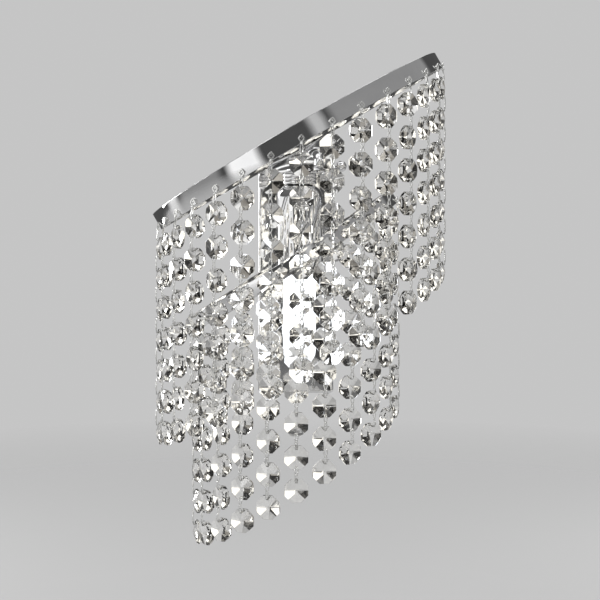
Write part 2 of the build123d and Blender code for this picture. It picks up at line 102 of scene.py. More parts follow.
def between(tree, factor, low, high, start=0.3, end=0.7):
    # a number that runs from low to high as the factor runs from start to end
    spread = tree.nodes.new("ShaderNodeMapRange")
    spread.inputs["From Min"].default_value = start
    spread.inputs["From Max"].default_value = end
    spread.inputs["To Min"].default_value = low
    spread.inputs["To Max"].default_value = high
    tree.links.new(factor, spread.inputs["Value"])
    return spread.outputs["Result"]


def colourRamp(tree, factor, stops):
    # stops are (position, colour); the first and last are the ramp's own two
    ramp = tree.nodes.new("ShaderNodeValToRGB")
    elements = ramp.color_ramp.elements
    elements[0].position, elements[1].position = stops[0][0], stops[-1][0]
    elements[0].color, elements[1].color = (*stops[0][1], 1.0), (*stops[-1][1], 1.0)
    for position, colour in stops[1:-1]:
        elements.new(position).color = (*colour, 1.0)
    tree.links.new(factor, ramp.inputs["Fac"])
    return ramp.outputs["Color"]


def bumped(tree, shader, height, strength, distance=0.0002):
    bump = tree.nodes.new("ShaderNodeBump")
    bump.inputs["Strength"].default_value = strength
    bump.inputs["Distance"].default_value = distance
    tree.links.new(height, bump.inputs["Height"])
    tree.links.new(bump.outputs["Normal"], shader.inputs["Normal"])


def platedMetal(name, low, high, smoothest, roughest, bump=0.03, stretch=(1.0, 1.0, 1.0), scale=60.0,
                metallic=1.0):
    # colour and polish vary softly from place to place, with fine rubbing marks
    material, tree, shader = newMaterial(name)
    shader.inputs["Metallic"].default_value = metallic
    clouds = objectNoise(tree, scale)
    rubbing = objectNoise(tree, scale * 25, 4.0, stretch)
    tree.links.new(colourRamp(tree, clouds, [(0.3, low), (0.7, high)]), shader.inputs["Base Color"])
    tree.links.new(between(tree, rubbing, smoothest, roughest), shader.inputs["Roughness"])
    bumped(tree, shader, rubbing, bump)
    return material


def mouldedPlastic(name, low, high, roughness, grain=900.0):
    # a fine even grain, and a colour that clouds slightly
    material, tree, shader = newMaterial(name)
    shader.inputs["IOR"].default_value = 1.5
    fine = objectNoise(tree, grain)
    clouds = objectNoise(tree, 70.0)
    tree.links.new(colourRamp(tree, clouds, [(0.3, low), (0.7, high)]), shader.inputs["Base Color"])
    tree.links.new(between(tree, fine, roughness - 0.06, roughness + 0.06), shader.inputs["Roughness"])
    bumped(tree, shader, fine, 0.15)
    return material


def litGlass(name, low, high, glow):
    # a frosted envelope whose glow rises with height; glow is two heights and the strengths there
    material, tree, shader = newMaterial(name)
    shader.inputs["Transmission Weight"].default_value = 0.75
    shader.inputs["IOR"].default_value = 1.5
    clouds = objectNoise(tree, 160.0)
    tree.links.new(colourRamp(tree, clouds, [(0.3, low), (0.7, high)]), shader.inputs["Base Color"])
    tree.links.new(between(tree, objectNoise(tree, 500.0), 0.12, 0.3), shader.inputs["Roughness"])
    place = tree.nodes.new("ShaderNodeTexCoord")
    split = tree.nodes.new("ShaderNodeSeparateXYZ")
    tree.links.new(place.outputs["Object"], split.inputs["Vector"])
    level = tree.nodes.new("ShaderNodeMapRange")
    level.interpolation_type = "SMOOTHSTEP"
    for socket, value in zip(("From Min", "From Max", "To Min", "To Max"), glow):
        level.inputs[socket].default_value = value
    tree.links.new(split.outputs["Z"], level.inputs["Value"])
    tree.links.new(level.outputs["Result"], shader.inputs["Emission Strength"])
    shader.inputs["Emission Color"].default_value = (0.95, 0.97, 1.0, 1.0)
    bumped(tree, shader, clouds, 0.05)
    return material


def clearGlass(name, low, high, ior, roughest, bump):
    # the tint, the polish and the flatness of the surface vary a little
    material, tree, shader = newMaterial(name)
    shader.inputs["Transmission Weight"].default_value = 1.0
    shader.inputs["IOR"].default_value = ior
    clouds = objectNoise(tree, 120.0)
    tree.links.new(colourRamp(tree, clouds, [(0.3, low), (0.7, high)]), shader.inputs["Base Color"])
    tree.links.new(between(tree, objectNoise(tree, 400.0), 0.0, roughest), shader.inputs["Roughness"])
    bumped(tree, shader, objectNoise(tree, 150.0, 1.0), bump)
    return material


finishes = {
    "crystal": clearGlass("cutCrystal", (0.97, 0.965, 0.95), (1.0, 0.995, 0.98), 1.6, 0.01, 0.04),
    "chrome": platedMetal("mirrorChrome", (0.72, 0.72, 0.725), (0.80, 0.80, 0.80), 0.02, 0.07, 0.015),
    "clip_metal": platedMetal("brightWire", (0.88, 0.88, 0.86), (0.96, 0.96, 0.94), 0.1, 0.2, 0.05,
                              metallic=0.85),
    "plated_steel": platedMetal("zincPlate", (0.52, 0.53, 0.54), (0.68, 0.69, 0.72), 0.25, 0.45, 0.2),
    "white_plastic": mouldedPlastic("whiteNylon", (0.80, 0.80, 0.77), (0.88, 0.88, 0.86), 0.4),
    "brass": platedMetal("plainBrass", (0.62, 0.45, 0.19), (0.75, 0.58, 0.28), 0.2, 0.4, 0.15),
    "nickelled_cap": platedMetal("nickelledCap", (0.60, 0.58, 0.54), (0.74, 0.73, 0.70), 0.18, 0.36, 0.15),
    "bulb_glass": litGlass("bulbGlass", (0.90, 0.92, 0.96), (0.97, 0.98, 1.0), (-0.058, -0.035, 0.25, 0.7)),
    "cap_insulator": mouldedPlastic("blackVitrite", (0.02, 0.02, 0.024), (0.05, 0.05, 0.06), 0.2),
    "holder_moulding": mouldedPlastic("holderMoulding", (0.74, 0.73, 0.69), (0.84, 0.83, 0.80), 0.5),
    "lead_sheath": mouldedPlastic("leadSheath", (0.78, 0.78, 0.76), (0.86, 0.86, 0.85), 0.45),
    "filament_wire": platedMetal("tungstenWire", (0.22, 0.21, 0.2), (0.34, 0.33, 0.32), 0.3, 0.5, 0.1),
}

nodeSlots = {part["node"]: part["material_slot"] for part in frame["record"]["subparts"]}
for node, piece in frame["nodes"].items():
    piece.data.materials.clear()
    piece.data.materials.append(finishes[nodeSlots[node]])
print("finishes on", len(nodeSlots), "nodes")


# Mesh helpers
def addPiece(name, shape, slot, body, nodes, sharpAngle=None):
    # a mesh from points and faces, with its finish, its body and the nodes that it replaces
    points, faces = shape
    mesh = bpy.data.meshes.new(name)
    mesh.from_pydata(points.tolist(), [], faces)
    weld(mesh)
    mesh.materials.append(finishes[slot])
    if sharpAngle is not None:
        mesh.polygons.foreach_set("use_smooth", [True] * len(mesh.polygons))
        mesh.set_sharp_from_angle(angle=radians(sharpAngle))
    piece = bpy.data.objects.new(name, mesh)
    bpy.context.scene.collection.objects.link(piece)
    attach(piece, body)
    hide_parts(*nodes)


def weld(mesh):
    # joins doubled points, as at a pole, and points the faces outwards
    shape = bmesh.new()
    shape.from_mesh(mesh)
    bmesh.ops.remove_doubles(shape, verts=shape.verts, dist=1e-6)
    bmesh.ops.recalc_face_normals(shape, faces=shape.faces)
    shape.to_mesh(mesh)
    shape.free()


def gridFaces(rows, columns):
    # quads between neighbours of a grid whose columns close on themselves
    row, column = np.meshgrid(np.arange(rows - 1) * columns, np.arange(columns), indexing="ij")
    beside = (column + 1) % columns
    corners = [row + column, row + beside, row + columns + beside, row + columns + column]
    return np.stack(corners, axis=-1).reshape(-1, 4).tolist()


def capped(points, rows, columns):
    # a grid of points with its first and last rows closed
    first = list(range(columns))[::-1]
    last = list(range((rows - 1) * columns, rows * columns))
    return points.reshape(-1, 3), gridFaces(rows, columns) + [first, last]


def joined(*shapes):
    # several shapes as one
    points, faces, count = [], [], 0
    for shapePoints, shapeFaces in shapes:
        points.append(shapePoints)
        faces += [[corner + count for corner in face] for face in shapeFaces]
        count += len(shapePoints)
    return np.concatenate(points), faces


def copiesOf(shape, places):
    # the same shape at every place: a place is an origin and three axes, as rows of a 4 by 3 array
    points, faces = shape
    places = np.asarray(places)
    moved = np.einsum("vk,pkx->pvx", points, places[:, 1:]) + places[:, None, 0]
    shifts = np.arange(len(places))[:, None] * len(points)
    copies = [face for pattern in faces for face in (np.array(pattern) + shifts).tolist()]
    return moved.reshape(-1, 3), copies


def arc(centre, radius, start, end, steps):
    # points of an arc, from one angle to another in degrees: centre + radius (cos, sin)
    turn = np.radians(np.linspace(start, end, steps))
    return np.stack([centre[0] + radius * np.cos(turn), centre[1] + radius * np.sin(turn)], axis=-1)


def turned(profile, middle, steps=72):
    # a profile of radius and height turned about an upright axis: radius cos, radius sin, height
    profile = np.asarray(profile, float)
    turn = np.linspace(0, 2 * pi, steps, endpoint=False)
    radius, height = profile[:, 0, None], profile[:, 1, None]
    points = [middle[0] + radius * np.cos(turn), middle[1] + radius * np.sin(turn), height + 0 * turn]
    return np.stack(points, axis=-1).reshape(-1, 3), gridFaces(len(profile), steps)


def carried(profile, path, side, up):
    # a closed profile along a path: path point + profile's x on the side axis + its y on the up axis
    points = path[:, None] + profile[None, :, :1] * side[:, None] + profile[None, :, 1:] * up[:, None]
    return capped(points, len(path), len(profile))


def roundedBar(halfWidth, halfHeight, corner, steps=4):
    # the outline of a flat bar: four corner centres plus quarter circles
    w, h = halfWidth - corner, halfHeight - corner
    centres = np.array([(w, -h), (w, h), (-w, h), (-w, -h)])
    turn = np.radians([-90, 0, 90, 180])[:, None] + np.linspace(0, pi / 2, steps)
    points = centres[:, None] + corner * np.stack([np.cos(turn), np.sin(turn)], axis=-1)
    return points.reshape(-1, 2)


def wire(path, radius, sides=6):
    # a round wire along a path: a ring of points square to the path at each of its points
    along = np.gradient(path, axis=0)
    along /= np.linalg.norm(along, axis=1, keepdims=True)
    reference = np.where(np.abs(along[:, 2:]) > 0.9, [[0.0, 1.0, 0.0]], [[0.0, 0.0, 1.0]])
    side = np.cross(along, reference)
    side /= np.linalg.norm(side, axis=1, keepdims=True)
    up = np.cross(side, along)
    turn = np.linspace(0, 2 * pi, sides, endpoint=False)
    ring = np.stack([radius * np.cos(turn), radius * np.sin(turn)], axis=-1)
    return carried(ring, path, side, up)


# Crystals: eight kite facets a side, whose ridges run to the middles of the octagon's sides
crystal = {
    "width": 14.0,
    "thickness": 6.0,
    "table": 0.9,  # across the flats of the small flat in the middle
    "edge": 1.05,  # half the height of the rim at the middle of a side
    "pitch": 19.5,
    "holeOffset": 5.0,
    "turn": (3.0, 9.0, 3.0),  # degrees that a crystal may stand out of true, about its three axes
    "seed": 7,
}


def crystalShape():
    # three rings of points a side: table corners, edge middles and rim corners; the kite facets
    # are planes: height = top - slope * (distance along the way to the corner - half the table)
    half, top, table = crystal["width"] / 2, crystal["thickness"] / 2, crystal["table"] / 2
    cornerRadius = half / cos(pi / 8)
    slope = (top - crystal["edge"]) / (half * cos(pi / 8) - table)
    cornerHeight = top - slope * (cornerRadius - table)
    turn = np.arange(8) * pi / 4 + np.array([0, 0, pi / 8])[:, None]
    radius = np.array([table / cos(pi / 8), half, cornerRadius])[:, None]
    height = np.array([top, crystal["edge"], cornerHeight])[:, None] + 0 * turn
    side = np.stack([radius * np.cos(turn), radius * np.sin(turn), height], axis=-1).reshape(-1, 3)
    points = np.concatenate([side, side * [1, 1, -1]])
    n = np.arange(8)
    m = (n + 1) % 8
    kites = np.stack([n, n + 8, n + 16, m + 8, m], axis=-1)
    rims = np.stack([n + 16, m + 8, m + 16, m + 40, m + 32, n + 40], axis=-1)
    faces = [list(range(8)), list(range(24, 32))] + kites.tolist() + (kites + 24).tolist() + rims.tolist()
    return points * millimetre, faces


def axesOf(joint):
    # axes for a shape drawn as seen from the front: across, up, and out along the strand's swing
    outward = np.cross(upright, np.array(joint["axis"], float))
    return np.stack([np.cross(upright, outward), upright, outward])


def leaning(axes, rng):
    # the axes turned by three small chance angles, one about each
    a, b, c = np.radians(rng.uniform(-1, 1, 3) * crystal["turn"])
    turnX = np.array([[1, 0, 0], [0, cos(a), -sin(a)], [0, sin(a), cos(a)]])
    turnY = np.array([[cos(b), 0, sin(b)], [0, 1, 0], [-sin(b), 0, cos(b)]])
    turnZ = np.array([[cos(c), -sin(c), 0], [sin(c), cos(c), 0], [0, 0, 1]])
    return turnX @ turnY @ turnZ @ axes


# Clips: two bent wires that cross the gap side by side, pinched in the middle
clip = {
    "wireRadius": 0.34,
    "spread": 1.05,  # each wire's furthest from the middle line
    "pinch": 0.38,
    "front": 2.75,  # in front of the crystals' middle plane
    "rise": 0.25,  # how far the middle of a clip bows out
    "hookSpan": 9.8,
    "fold": 0.68,  # radius of the fold that holds the two wires together
    "foldLength": 1.6,
    "foldFlatness": 0.8,
    "setBack": 1.1,  # of the ring and ball behind the clips' front
    "ringHalf": 2.1,  # of the diamond ring at the band
    "ringWidth": 0.8,  # as a share of its height
    "ringDrop": 0.4,  # of its middle below the hole
    "ringWire": 0.42,
    "pinWire": 0.5,
    "pinShort": 0.4,  # how far the pin in the band's hole ends before the clips' back
    "bead": 0.95,
    "beadDrop": 0.9,  # below the ring
    "legDrop": 1.2,  # from the ring to the wires under the ball
    "legGap": 0.3,  # each leg's nearest to the middle line
    "legBow": 0.55,
}


def clipShape(span):
    # two mirrored wires: across = pinch + (spread - pinch) |sin 2 pi t|, ends turned back into the holes
    t = np.linspace(0, 1, 5)
    across = clip["pinch"] + (clip["spread"] - clip["pinch"]) * np.abs(np.sin(2 * pi * t))
    front = np.stack([across, span * (0.5 - t), clip["front"] + clip["rise"] * np.sin(pi * t)], axis=-1)
    back = front[[0, -1]] * [1, 1, -1]
    path = np.concatenate([back[:1], front, back[1:]]) * millimetre
    wires = [wire(path * [side, 1, 1], clip["wireRadius"] * millimetre, 4) for side in (1, -1)]
    return joined(*wires, foldShape(clip["front"] + clip["rise"]))


def foldShape(out):
    # the bright fold in the middle of a clip: a barrel whose radius swells as the root of a sine
    t = np.linspace(0, 1, 5)[:, None]
    turn = np.linspace(0, 2 * pi, 6, endpoint=False)
    radius = clip["fold"] * np.sqrt(np.abs(np.sin(pi * t)))
    height = clip["foldLength"] * (t - 0.5) + 0 * turn
    points = [radius * np.cos(turn), height, out + clip["foldFlatness"] * radius * np.sin(turn)]
    return np.stack(points, axis=-1).reshape(-1, 3) * millimetre, gridFaces(len(t), len(turn))


def ballShape(radius, place):
    # a small ball: a half circle turned about an upright axis
    points, faces = turned(arc((0, 0), radius, -90, 90, 7), (0, 0), 10)
    return (points + place) * millimetre, faces


def hookShape():
    # the diamond ring on the band, a ball under it and a short pair of wires to the top crystal;
    # the ring's reach = half / (|cos| + |sin|) to the power 0.8
    span, half = clip["hookSpan"], clip["ringHalf"]
    out = clip["front"] - clip["setBack"]
    turn = np.linspace(0, 2 * pi, 13)
    reach = half / (np.abs(np.cos(turn)) + np.abs(np.sin(turn))) ** 0.8
    across = clip["ringWidth"] * reach * np.cos(turn)
    ring = np.stack([across, reach * np.sin(turn) + span - clip["ringDrop"], out + 0 * turn], axis=-1)
    t = np.linspace(0, 1, 6)
    top = span - half - clip["legDrop"]
    across = clip["legGap"] + clip["legBow"] * np.sin(pi * t)
    legs = np.stack([across, top * (1 - t), out + (clip["front"] - out) * t], axis=-1)
    legs = np.concatenate([legs, [[clip["legGap"], 0.0, -clip["front"]]]])
    pin = np.array([[0, span, out], [0, span, clip["pinShort"] - clip["front"]]])
    wires = [wire(legs * [side, 1, 1] * millimetre, clip["wireRadius"] * millimetre, 5) for side in (1, -1)]
    wires.append(wire(ring * millimetre, clip["ringWire"] * millimetre, 6))
    wires.append(wire(pin * millimetre, clip["pinWire"] * millimetre, 6))
    return joined(*wires, ballShape(clip["bead"], (0, span - half - clip["beadDrop"], out)))


def hangStrands():
    # crystals and clips under every swinging joint, and the fixed hooks above them
    rng = np.random.default_rng(crystal["seed"])
    crystalForm, hookForm = crystalShape(), hookShape()
    clipForm = clipShape(crystal["pitch"] - 2 * crystal["holeOffset"])
    pitch = crystal["pitch"] * millimetre
    hooks = {"upper": [], "lower": []}
    for joint in frame["joints"]:
        if joint["type"] != "hinge":
            continue
        body = joint["child"]
        pivot = np.array(joint["pos_m"])
        axes = axesOf(joint)
        count = round((pivot[2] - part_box(body)[0].z) / pitch)
        drops = (crystal["holeOffset"] + crystal["pitch"] * np.arange(count)) * millimetre
        centres = pivot - drops[:, None] * upright
        crystals = [np.vstack([centre, leaning(axes, rng)]) for centre in centres]
        clips = [np.vstack([centre, axes]) for centre in centres[:-1] - upright * pitch / 2]
        crystalCopies, clipCopies = copiesOf(crystalForm, crystals), copiesOf(clipForm, clips)
        addPiece(body.replace("strand", "crystals"), crystalCopies, "crystal", body, [body])
        addPiece(body.replace("strand", "clips"), clipCopies, "clip_metal", body, [body], sharpAngle=120)
        hooks[body.split("_")[0]].append(np.vstack([pivot, axes]))
    for tier, places in hooks.items():
        shape = copiesOf(hookForm, places)
        addPiece(f"{tier}_hook_wires", shape, "clip_metal", "fixture", [f"{tier}_hooks"], sharpAngle=60)


hangStrands()
print("strands hung")


# Bands: a rounded flat strip along the arc of the hooks, and a straight one behind it
band = {
    "heights": {"upper": 11.4, "lower": 9.4},
    "thickness": 1.2,
    "corner": 0.3,
    "holeEdge": 2.8,  # from the hanging holes down to the lower edge
    "barGap": 0.3,  # between the bow's ends and the bar's front
    "steps": 120,
}


def bandArc(tier):
    # the circle through a band's hanging holes: its centre, radius and the band's two axes
    pivots = [joint["pos_m"] for joint in frame["joints"] if joint["child"].startswith(tier + "_strand")]
    holes = np.array(pivots) + upright * clip["hookSpan"] * millimetre
    chord = holes[-1] - holes[0]
    along = chord / np.linalg.norm(chord)
    up = np.cross(along, [0.0, 1.0, 0.0])
    middle = (holes[0] + holes[-1]) / 2
    rise = middle[1] - holes[len(holes) // 2][1]
    radius = ((np.linalg.norm(chord) / 2) ** 2 + rise**2) / (2 * rise)
    lift = (band["heights"][tier] / 2 - band["holeEdge"]) * millimetre
    return middle + up * lift + np.array([0.0, radius - rise, 0.0]), radius, along, up


def bendBand(tier):
    # the bow: centre + radius (sin t along the slope, cos t towards the room), out to the bar
    centre, radius, along, up = bandArc(tier)
    low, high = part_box(f"{tier}_bar")
    half = band["heights"][tier] / 2
    reach = acos((centre[1] - low.y - band["barGap"] * millimetre) / radius)
    t = np.linspace(-reach, reach, band["steps"])[:, None]
    outward = np.sin(t) * along + np.cos(t) * np.array([0.0, -1.0, 0.0])
    profile = roundedBar(band["thickness"] / 2, half, band["corner"]) * millimetre
    shape = carried(profile, centre + radius * outward, outward, np.repeat(up[None], len(t), 0))
    addPiece(f"{tier}_band_strip", shape, "chrome", "fixture", [f"{tier}_bow"], sharpAngle=30)
    halfLength = (radius + band["thickness"] / 2 * millimetre) * sin(reach)
    middle = np.array([centre[0], (low.y + high.y) / 2, centre[2]])
    ends = np.array([middle - along * halfLength, middle + along * halfLength])
    profile = roundedBar((high.y - low.y) / 2 / millimetre, half, band["corner"]) * millimetre
    shape = carried(profile, ends, np.array([[0.0, -1.0, 0.0]] * 2), np.repeat(up[None], 2, 0))
    addPiece(f"{tier}_back_strip", shape, "chrome", "fixture", [f"{tier}_bar"], sharpAngle=30)


for tier in ("upper", "lower"):
    bendBand(tier)
print("bands bent")


# Wall box: one pressed sheet with rounded corners and a sloping top, open towards the wall
wallBox = {"wall": 1.2, "corner": 2.4, "frontEdge": 1.8, "steps": 7}


def pressBox():
    # every ring is the four core corners plus its radius times (cos, sin); the front edge rolls in
    # by edge (1 - cos) as it comes forward by edge sin
    low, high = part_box("wall_box")
    along = bandArc("upper")[2]
    slope = along[2] / along[0]
    corner, edge, wall = (wallBox[key] * millimetre for key in ("corner", "frontEdge", "wall"))
    steps = wallBox["steps"]
    left, right, foot = low.x + corner, high.x - corner, low.z + corner
    topLeft = high.z - (high.x - low.x) * slope + corner * slope - corner * sqrt(1 + slope**2)
    topRight = topLeft + (right - left) * slope
    cores = np.array([(right, foot), (right, topRight), (left, topLeft), (left, foot)])
    tilt = atan(slope)
    starts = np.array([-pi / 2, 0, pi / 2 + tilt, pi])[:, None]
    ends = np.array([0, pi / 2 + tilt, pi, 3 * pi / 2])[:, None]
    turn = starts + (ends - starts) * np.linspace(0, 1, steps)
    roll = np.linspace(0, pi / 2, steps)
    radius = np.concatenate([[corner - wall] * 2, [corner], corner - edge * (1 - np.cos(roll))])
    depth = -low.y
    forward = np.concatenate([[depth - wall, 0.0, 0.0], depth - edge + edge * np.sin(roll)])
    ring = np.stack([np.cos(turn), np.sin(turn)], axis=-1).reshape(-1, 2)
    outline = np.repeat(cores, steps, axis=0) + radius[:, None, None] * ring
    points = np.stack([outline[..., 0], -forward[:, None] + 0 * outline[..., 0], outline[..., 1]], axis=-1)
    shape = capped(points, len(radius), len(outline[0]))
    addPiece("box_shell", shape, "chrome", "fixture", ["wall_box"], sharpAngle=30)


pressBox()
print("box pressed")


# Lamp: everything turned on its upright axis takes its size from the CAD nodes
def spanOf(node):
    # a turned node's axis, radius, foot and top
    low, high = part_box(node)
    return ((low.x + high.x) / 2, (low.y + high.y) / 2), (high.x - low.x) / 2, low.z, high.z


sleeve = {"wall": 0.8, "shoulder": 8.0, "rim": 0.4, "bore": 5.1}
collar = {"rings": 3, "groove": 0.9, "corner": 0.6, "bore": 5.1}
hub = {"rim": 2.0, "corner": 0.6, "tuck": 0.4}  # tuck: the dome starts this share of a corner in


def turnSleeve():
    # a thin tube with a rolled rim below and round shoulders above, drawn in to the nipple
    middle, radius, foot, top = spanOf("lamp_sleeve")
    wall, shoulder, rim, bore = (sleeve[key] * millimetre for key in ("wall", "shoulder", "rim", "bore"))
    shoulderCentre = (radius - shoulder, top - shoulder)
    profile = np.concatenate([
        [(radius - wall + rim, foot)],
        arc((radius - rim, foot + rim), rim, -90, 0, 5),
        arc(shoulderCentre, shoulder, 0, 90, 14),
        [(bore, top), (bore, top - wall)],
        arc(shoulderCentre, shoulder - wall, 90, 0, 14),
        arc((radius - wall + rim, foot + rim), rim, 180, 270, 5),
    ])
    addPiece("sleeve_shell", turned(profile, middle, 96), "chrome", "fixture", ["lamp_sleeve"], sharpAngle=40)


def turnCollar():
    # a stack of round-edged rings with narrow grooves between them
    middle, radius, foot, top = spanOf("collar")
    corner, groove, bore = (collar[key] * millimetre for key in ("corner", "groove", "bore"))
    pitch = (top - foot) / collar["rings"]
    ring = np.concatenate([
        [(radius - groove, 0.0)],
        arc((radius - corner, corner), corner, -90, 0, 5),
        arc((radius - corner, pitch - corner), corner, 0, 90, 5),
        [(radius - groove, pitch)],
    ])
    lifts = foot + pitch * np.arange(collar["rings"])
    stack = (ring + np.stack([0 * lifts, lifts], axis=-1)[:, None]).reshape(-1, 2)
    profile = np.concatenate([[(bore, foot)], stack, [(bore, top), (bore, foot)]])
    addPiece("collar_rings", turned(profile, middle, 72), "chrome", "fixture", ["collar"], sharpAngle=40)


def turnHub():
    # a low dome: an arc about a point far below its top, then a round-edged rim
    middle, radius, foot, top = spanOf("lamp_hub")
    rim, corner = hub["rim"] * millimetre, hub["corner"] * millimetre
    rise = top - foot - rim
    big = (radius**2 + rise**2) / (2 * rise)
    reach = np.degrees(atan((radius - hub["tuck"] * corner) / (big - rise)))
    profile = np.concatenate([
        arc((0.0, top - big), big, 90, 90 - reach, 20),
        arc((radius - corner, foot + corner), corner, 0, -90, 5),
        [(0.0, foot)],
    ])
    addPiece("hub_dome", turned(profile, middle, 96), "chrome", "fixture", ["lamp_hub"], sharpAngle=40)


arm = {"bend": 6.0}


def bendArm():
    # a tube straight out of the box, a quarter circle, and straight down into the hub
    low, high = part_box("lamp_arm")
    radius = (high.x - low.x) / 2
    middle = (low.x + high.x) / 2
    level = high.z - radius
    depth = low.y + radius
    bend = arm["bend"] * millimetre
    quarter = arc((depth + bend, level - bend), bend, 90, 180, 16)
    route = np.concatenate([[(high.y, level)], quarter, [(depth, low.z)]])
    path = np.stack([0 * route[:, 0] + middle, route[:, 0], route[:, 1]], axis=-1)
    addPiece("arm_tube", wire(path, radius, 32), "chrome", "fixture", ["lamp_arm"], sharpAngle=40)


turnSleeve()
turnCollar()
turnHub()
bendArm()
print("lamp turned")


# Bulb: drawn glass on a threaded cap
bulb = {
    "wall": 0.5,
    "neck": 6.4,
    "shoulder": 9.0,
    "threads": 5,
    "threadDepth": 0.5,
    "skirtStart": 0.2,  # where the threads start and how far they go, as shares of the cap's height
    "skirtLength": 0.72,
    "neckSteps": 14,
}


def blowBulb():
    # a tube with a round end, whose neck widens as half a cosine wave
    middle, radius, foot, top = spanOf("bulb_glass")
    wall, neck, shoulder = (bulb[key] * millimetre for key in ("wall", "neck", "shoulder"))
    t = np.linspace(0, 1, bulb["neckSteps"])
    outer = np.concatenate([
        np.stack([neck + (radius - neck) * (0.5 - 0.5 * np.cos(pi * t)), top - shoulder * t], axis=-1),
        arc((0.0, foot + radius), radius, 0, -90, 18),
    ])
    inner = np.concatenate([
        arc((0.0, foot + radius), radius - wall, -90, 0, 18),
        (outer[:bulb["neckSteps"]] - [wall, 0])[::-1],
    ])
    profile = np.concatenate([outer, inner, outer[:1]])
    shape = turned(profile, middle, 64)
    addPiece("bulb_envelope", shape, "bulb_glass", "bulb", ["bulb_glass"], sharpAngle=60)


def rollCap():
    # the cap's skirt: radius less half the thread's depth times one minus cosine
    middle, radius, foot, top = spanOf("bulb_cap")
    depth = bulb["threadDepth"] * millimetre
    t = np.linspace(0, 1, bulb["threads"] * 8 + 1)
    threads = radius - depth / 2 * (1 - np.cos(2 * pi * bulb["threads"] * t))
    share = bulb["skirtStart"] + bulb["skirtLength"] * t
    skirt = np.stack([threads, foot + (top - foot) * share], axis=-1)
    profile = np.concatenate([[(0.0, foot), (radius, foot)], skirt, [(radius - depth, top), (0.0, top)]])
    addPiece("cap_skirt", turned(profile, middle, 48), "nickelled_cap", "bulb", ["bulb_cap"], sharpAngle=40)


blowBulb()
rollCap()
print("bulb blown")


# Side screws: polished balls on short necks
ball = {"radius": 3.7, "neck": 2.4}


def turnSideScrews():
    # a neck, then a ball, turned about a level axis and mirrored for the other side
    low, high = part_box("side_screws")
    radius, neck = ball["radius"] * millimetre, ball["neck"] * millimetre
    outside = (high.x - low.x) / 2
    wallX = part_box("wall_box")[1].x
    start = np.degrees(np.arcsin(neck / radius))
    profile = np.concatenate([
        [(0.0, wallX), (neck, wallX)],
        arc((0.0, outside - radius), radius, start - 90, 90, 24),
    ])
    points, faces = turned(profile, (0.0, 0.0), 48)
    place = np.array([0.0, (low.y + high.y) / 2, (low.z + high.z) / 2])
    right = points[:, [2, 0, 1]]
    shape = joined((right + place, faces), (right * [-1, 1, 1] + place, faces))
    addPiece("side_ball_screws", shape, "chrome", "fixture", ["side_screws"], sharpAngle=40)


turnSideScrews()
print("side screws turned")


# Studio: a pale floor that fades into pale air, soft lamps, and a dark room with a few light
# panels for metal to show
studio = {
    "floorHeight": -0.33,
    "floorReach": 4.0,
    "floorColour": 0.48,
    "floorRoughness": 0.9,
    "fade": (0.55, 1.3),  # distances at which the floor starts and ends its fade into the air
    "pale": 0.56,  # the air as the camera sees it
    "fill": 0.72,  # the air as it lights the pieces
    "tilt": 29.8,  # the room leans with the upper band, so that its edges cross the bands squarely
    "darkness": 0.08,  # the room between its panels
    "panels": {  # first and last degree, round from behind the camera by its left, and level
        "softbox": (32, 50, 1.2),
        "leftWall": (64, 98, 0.3),
        "leftStrip": (110, 116, 1.0),
        "rightWall": (240, 330, 0.32),
        "rightStrip": (342, 346, 0.6),
    },
    "panelEdge": 6,  # degrees in which a panel fades
    "steep": (0.33, 0.36),  # how high or low the room's panels give way to its floor and ceiling
    "heights": [(0.0, 0.05), (0.19, 0.06), (0.21, 0.55), (0.29, 0.5), (0.31, 0.1), (0.66, 0.1), (0.68, 1.1),
                (0.78, 1.15), (0.8, 0.12), (1.0, 0.16)],  # that floor and ceiling, from straight down to up
    "window": (0.965, 0.975),  # the pale air straight behind the light, as the cosine from +Y
    "panes": 3.2,  # how finely the room that cut glass shows is broken up
    # dark, middling and bright panes, by chance
    "glints": [(0.0, (0.008, 0.007, 0.006)), (0.44, (0.01, 0.009, 0.008)), (0.46, (0.25, 0.235, 0.21)),
               (0.60, (0.33, 0.31, 0.28)), (0.62, (1.4, 1.35, 1.24)), (1.0, (1.8, 1.75, 1.62))],
}


def grey(level):
    return (level, level, level)


def layFloor():
    mesh = bpy.data.meshes.new("floor")
    size, height = studio["floorReach"], studio["floorHeight"]
    corners = [(-size, -size, height), (size, -size, height), (size, size, height), (-size, size, height)]
    mesh.from_pydata(corners, [], [(0, 1, 2, 3)])
    material, tree, shader = newMaterial("paleFloor")
    shader.inputs["Base Color"].default_value = (*grey(studio["floorColour"]), 1.0)
    shader.inputs["Roughness"].default_value = studio["floorRoughness"]
    shader.inputs["Specular IOR Level"].default_value = 0.0
    place = tree.nodes.new("ShaderNodeTexCoord")
    distance = tree.nodes.new("ShaderNodeVectorMath")
    distance.operation = "LENGTH"
    clear = tree.nodes.new("ShaderNodeBsdfTransparent")
    mix = tree.nodes.new("ShaderNodeMixShader")
    tree.links.new(place.outputs["Object"], distance.inputs[0])
    tree.links.new(between(tree, distance.outputs["Value"], 0.0, 1.0, *studio["fade"]), mix.inputs["Fac"])
    tree.links.new(shader.outputs["BSDF"], mix.inputs[1])
    tree.links.new(clear.outputs["BSDF"], mix.inputs[2])
    tree.links.new(mix.outputs["Shader"], tree.nodes["Material Output"].inputs["Surface"])
    mesh.materials.append(material)
    floor = bpy.data.objects.new("floor", mesh)
    bpy.context.scene.collection.objects.link(floor)


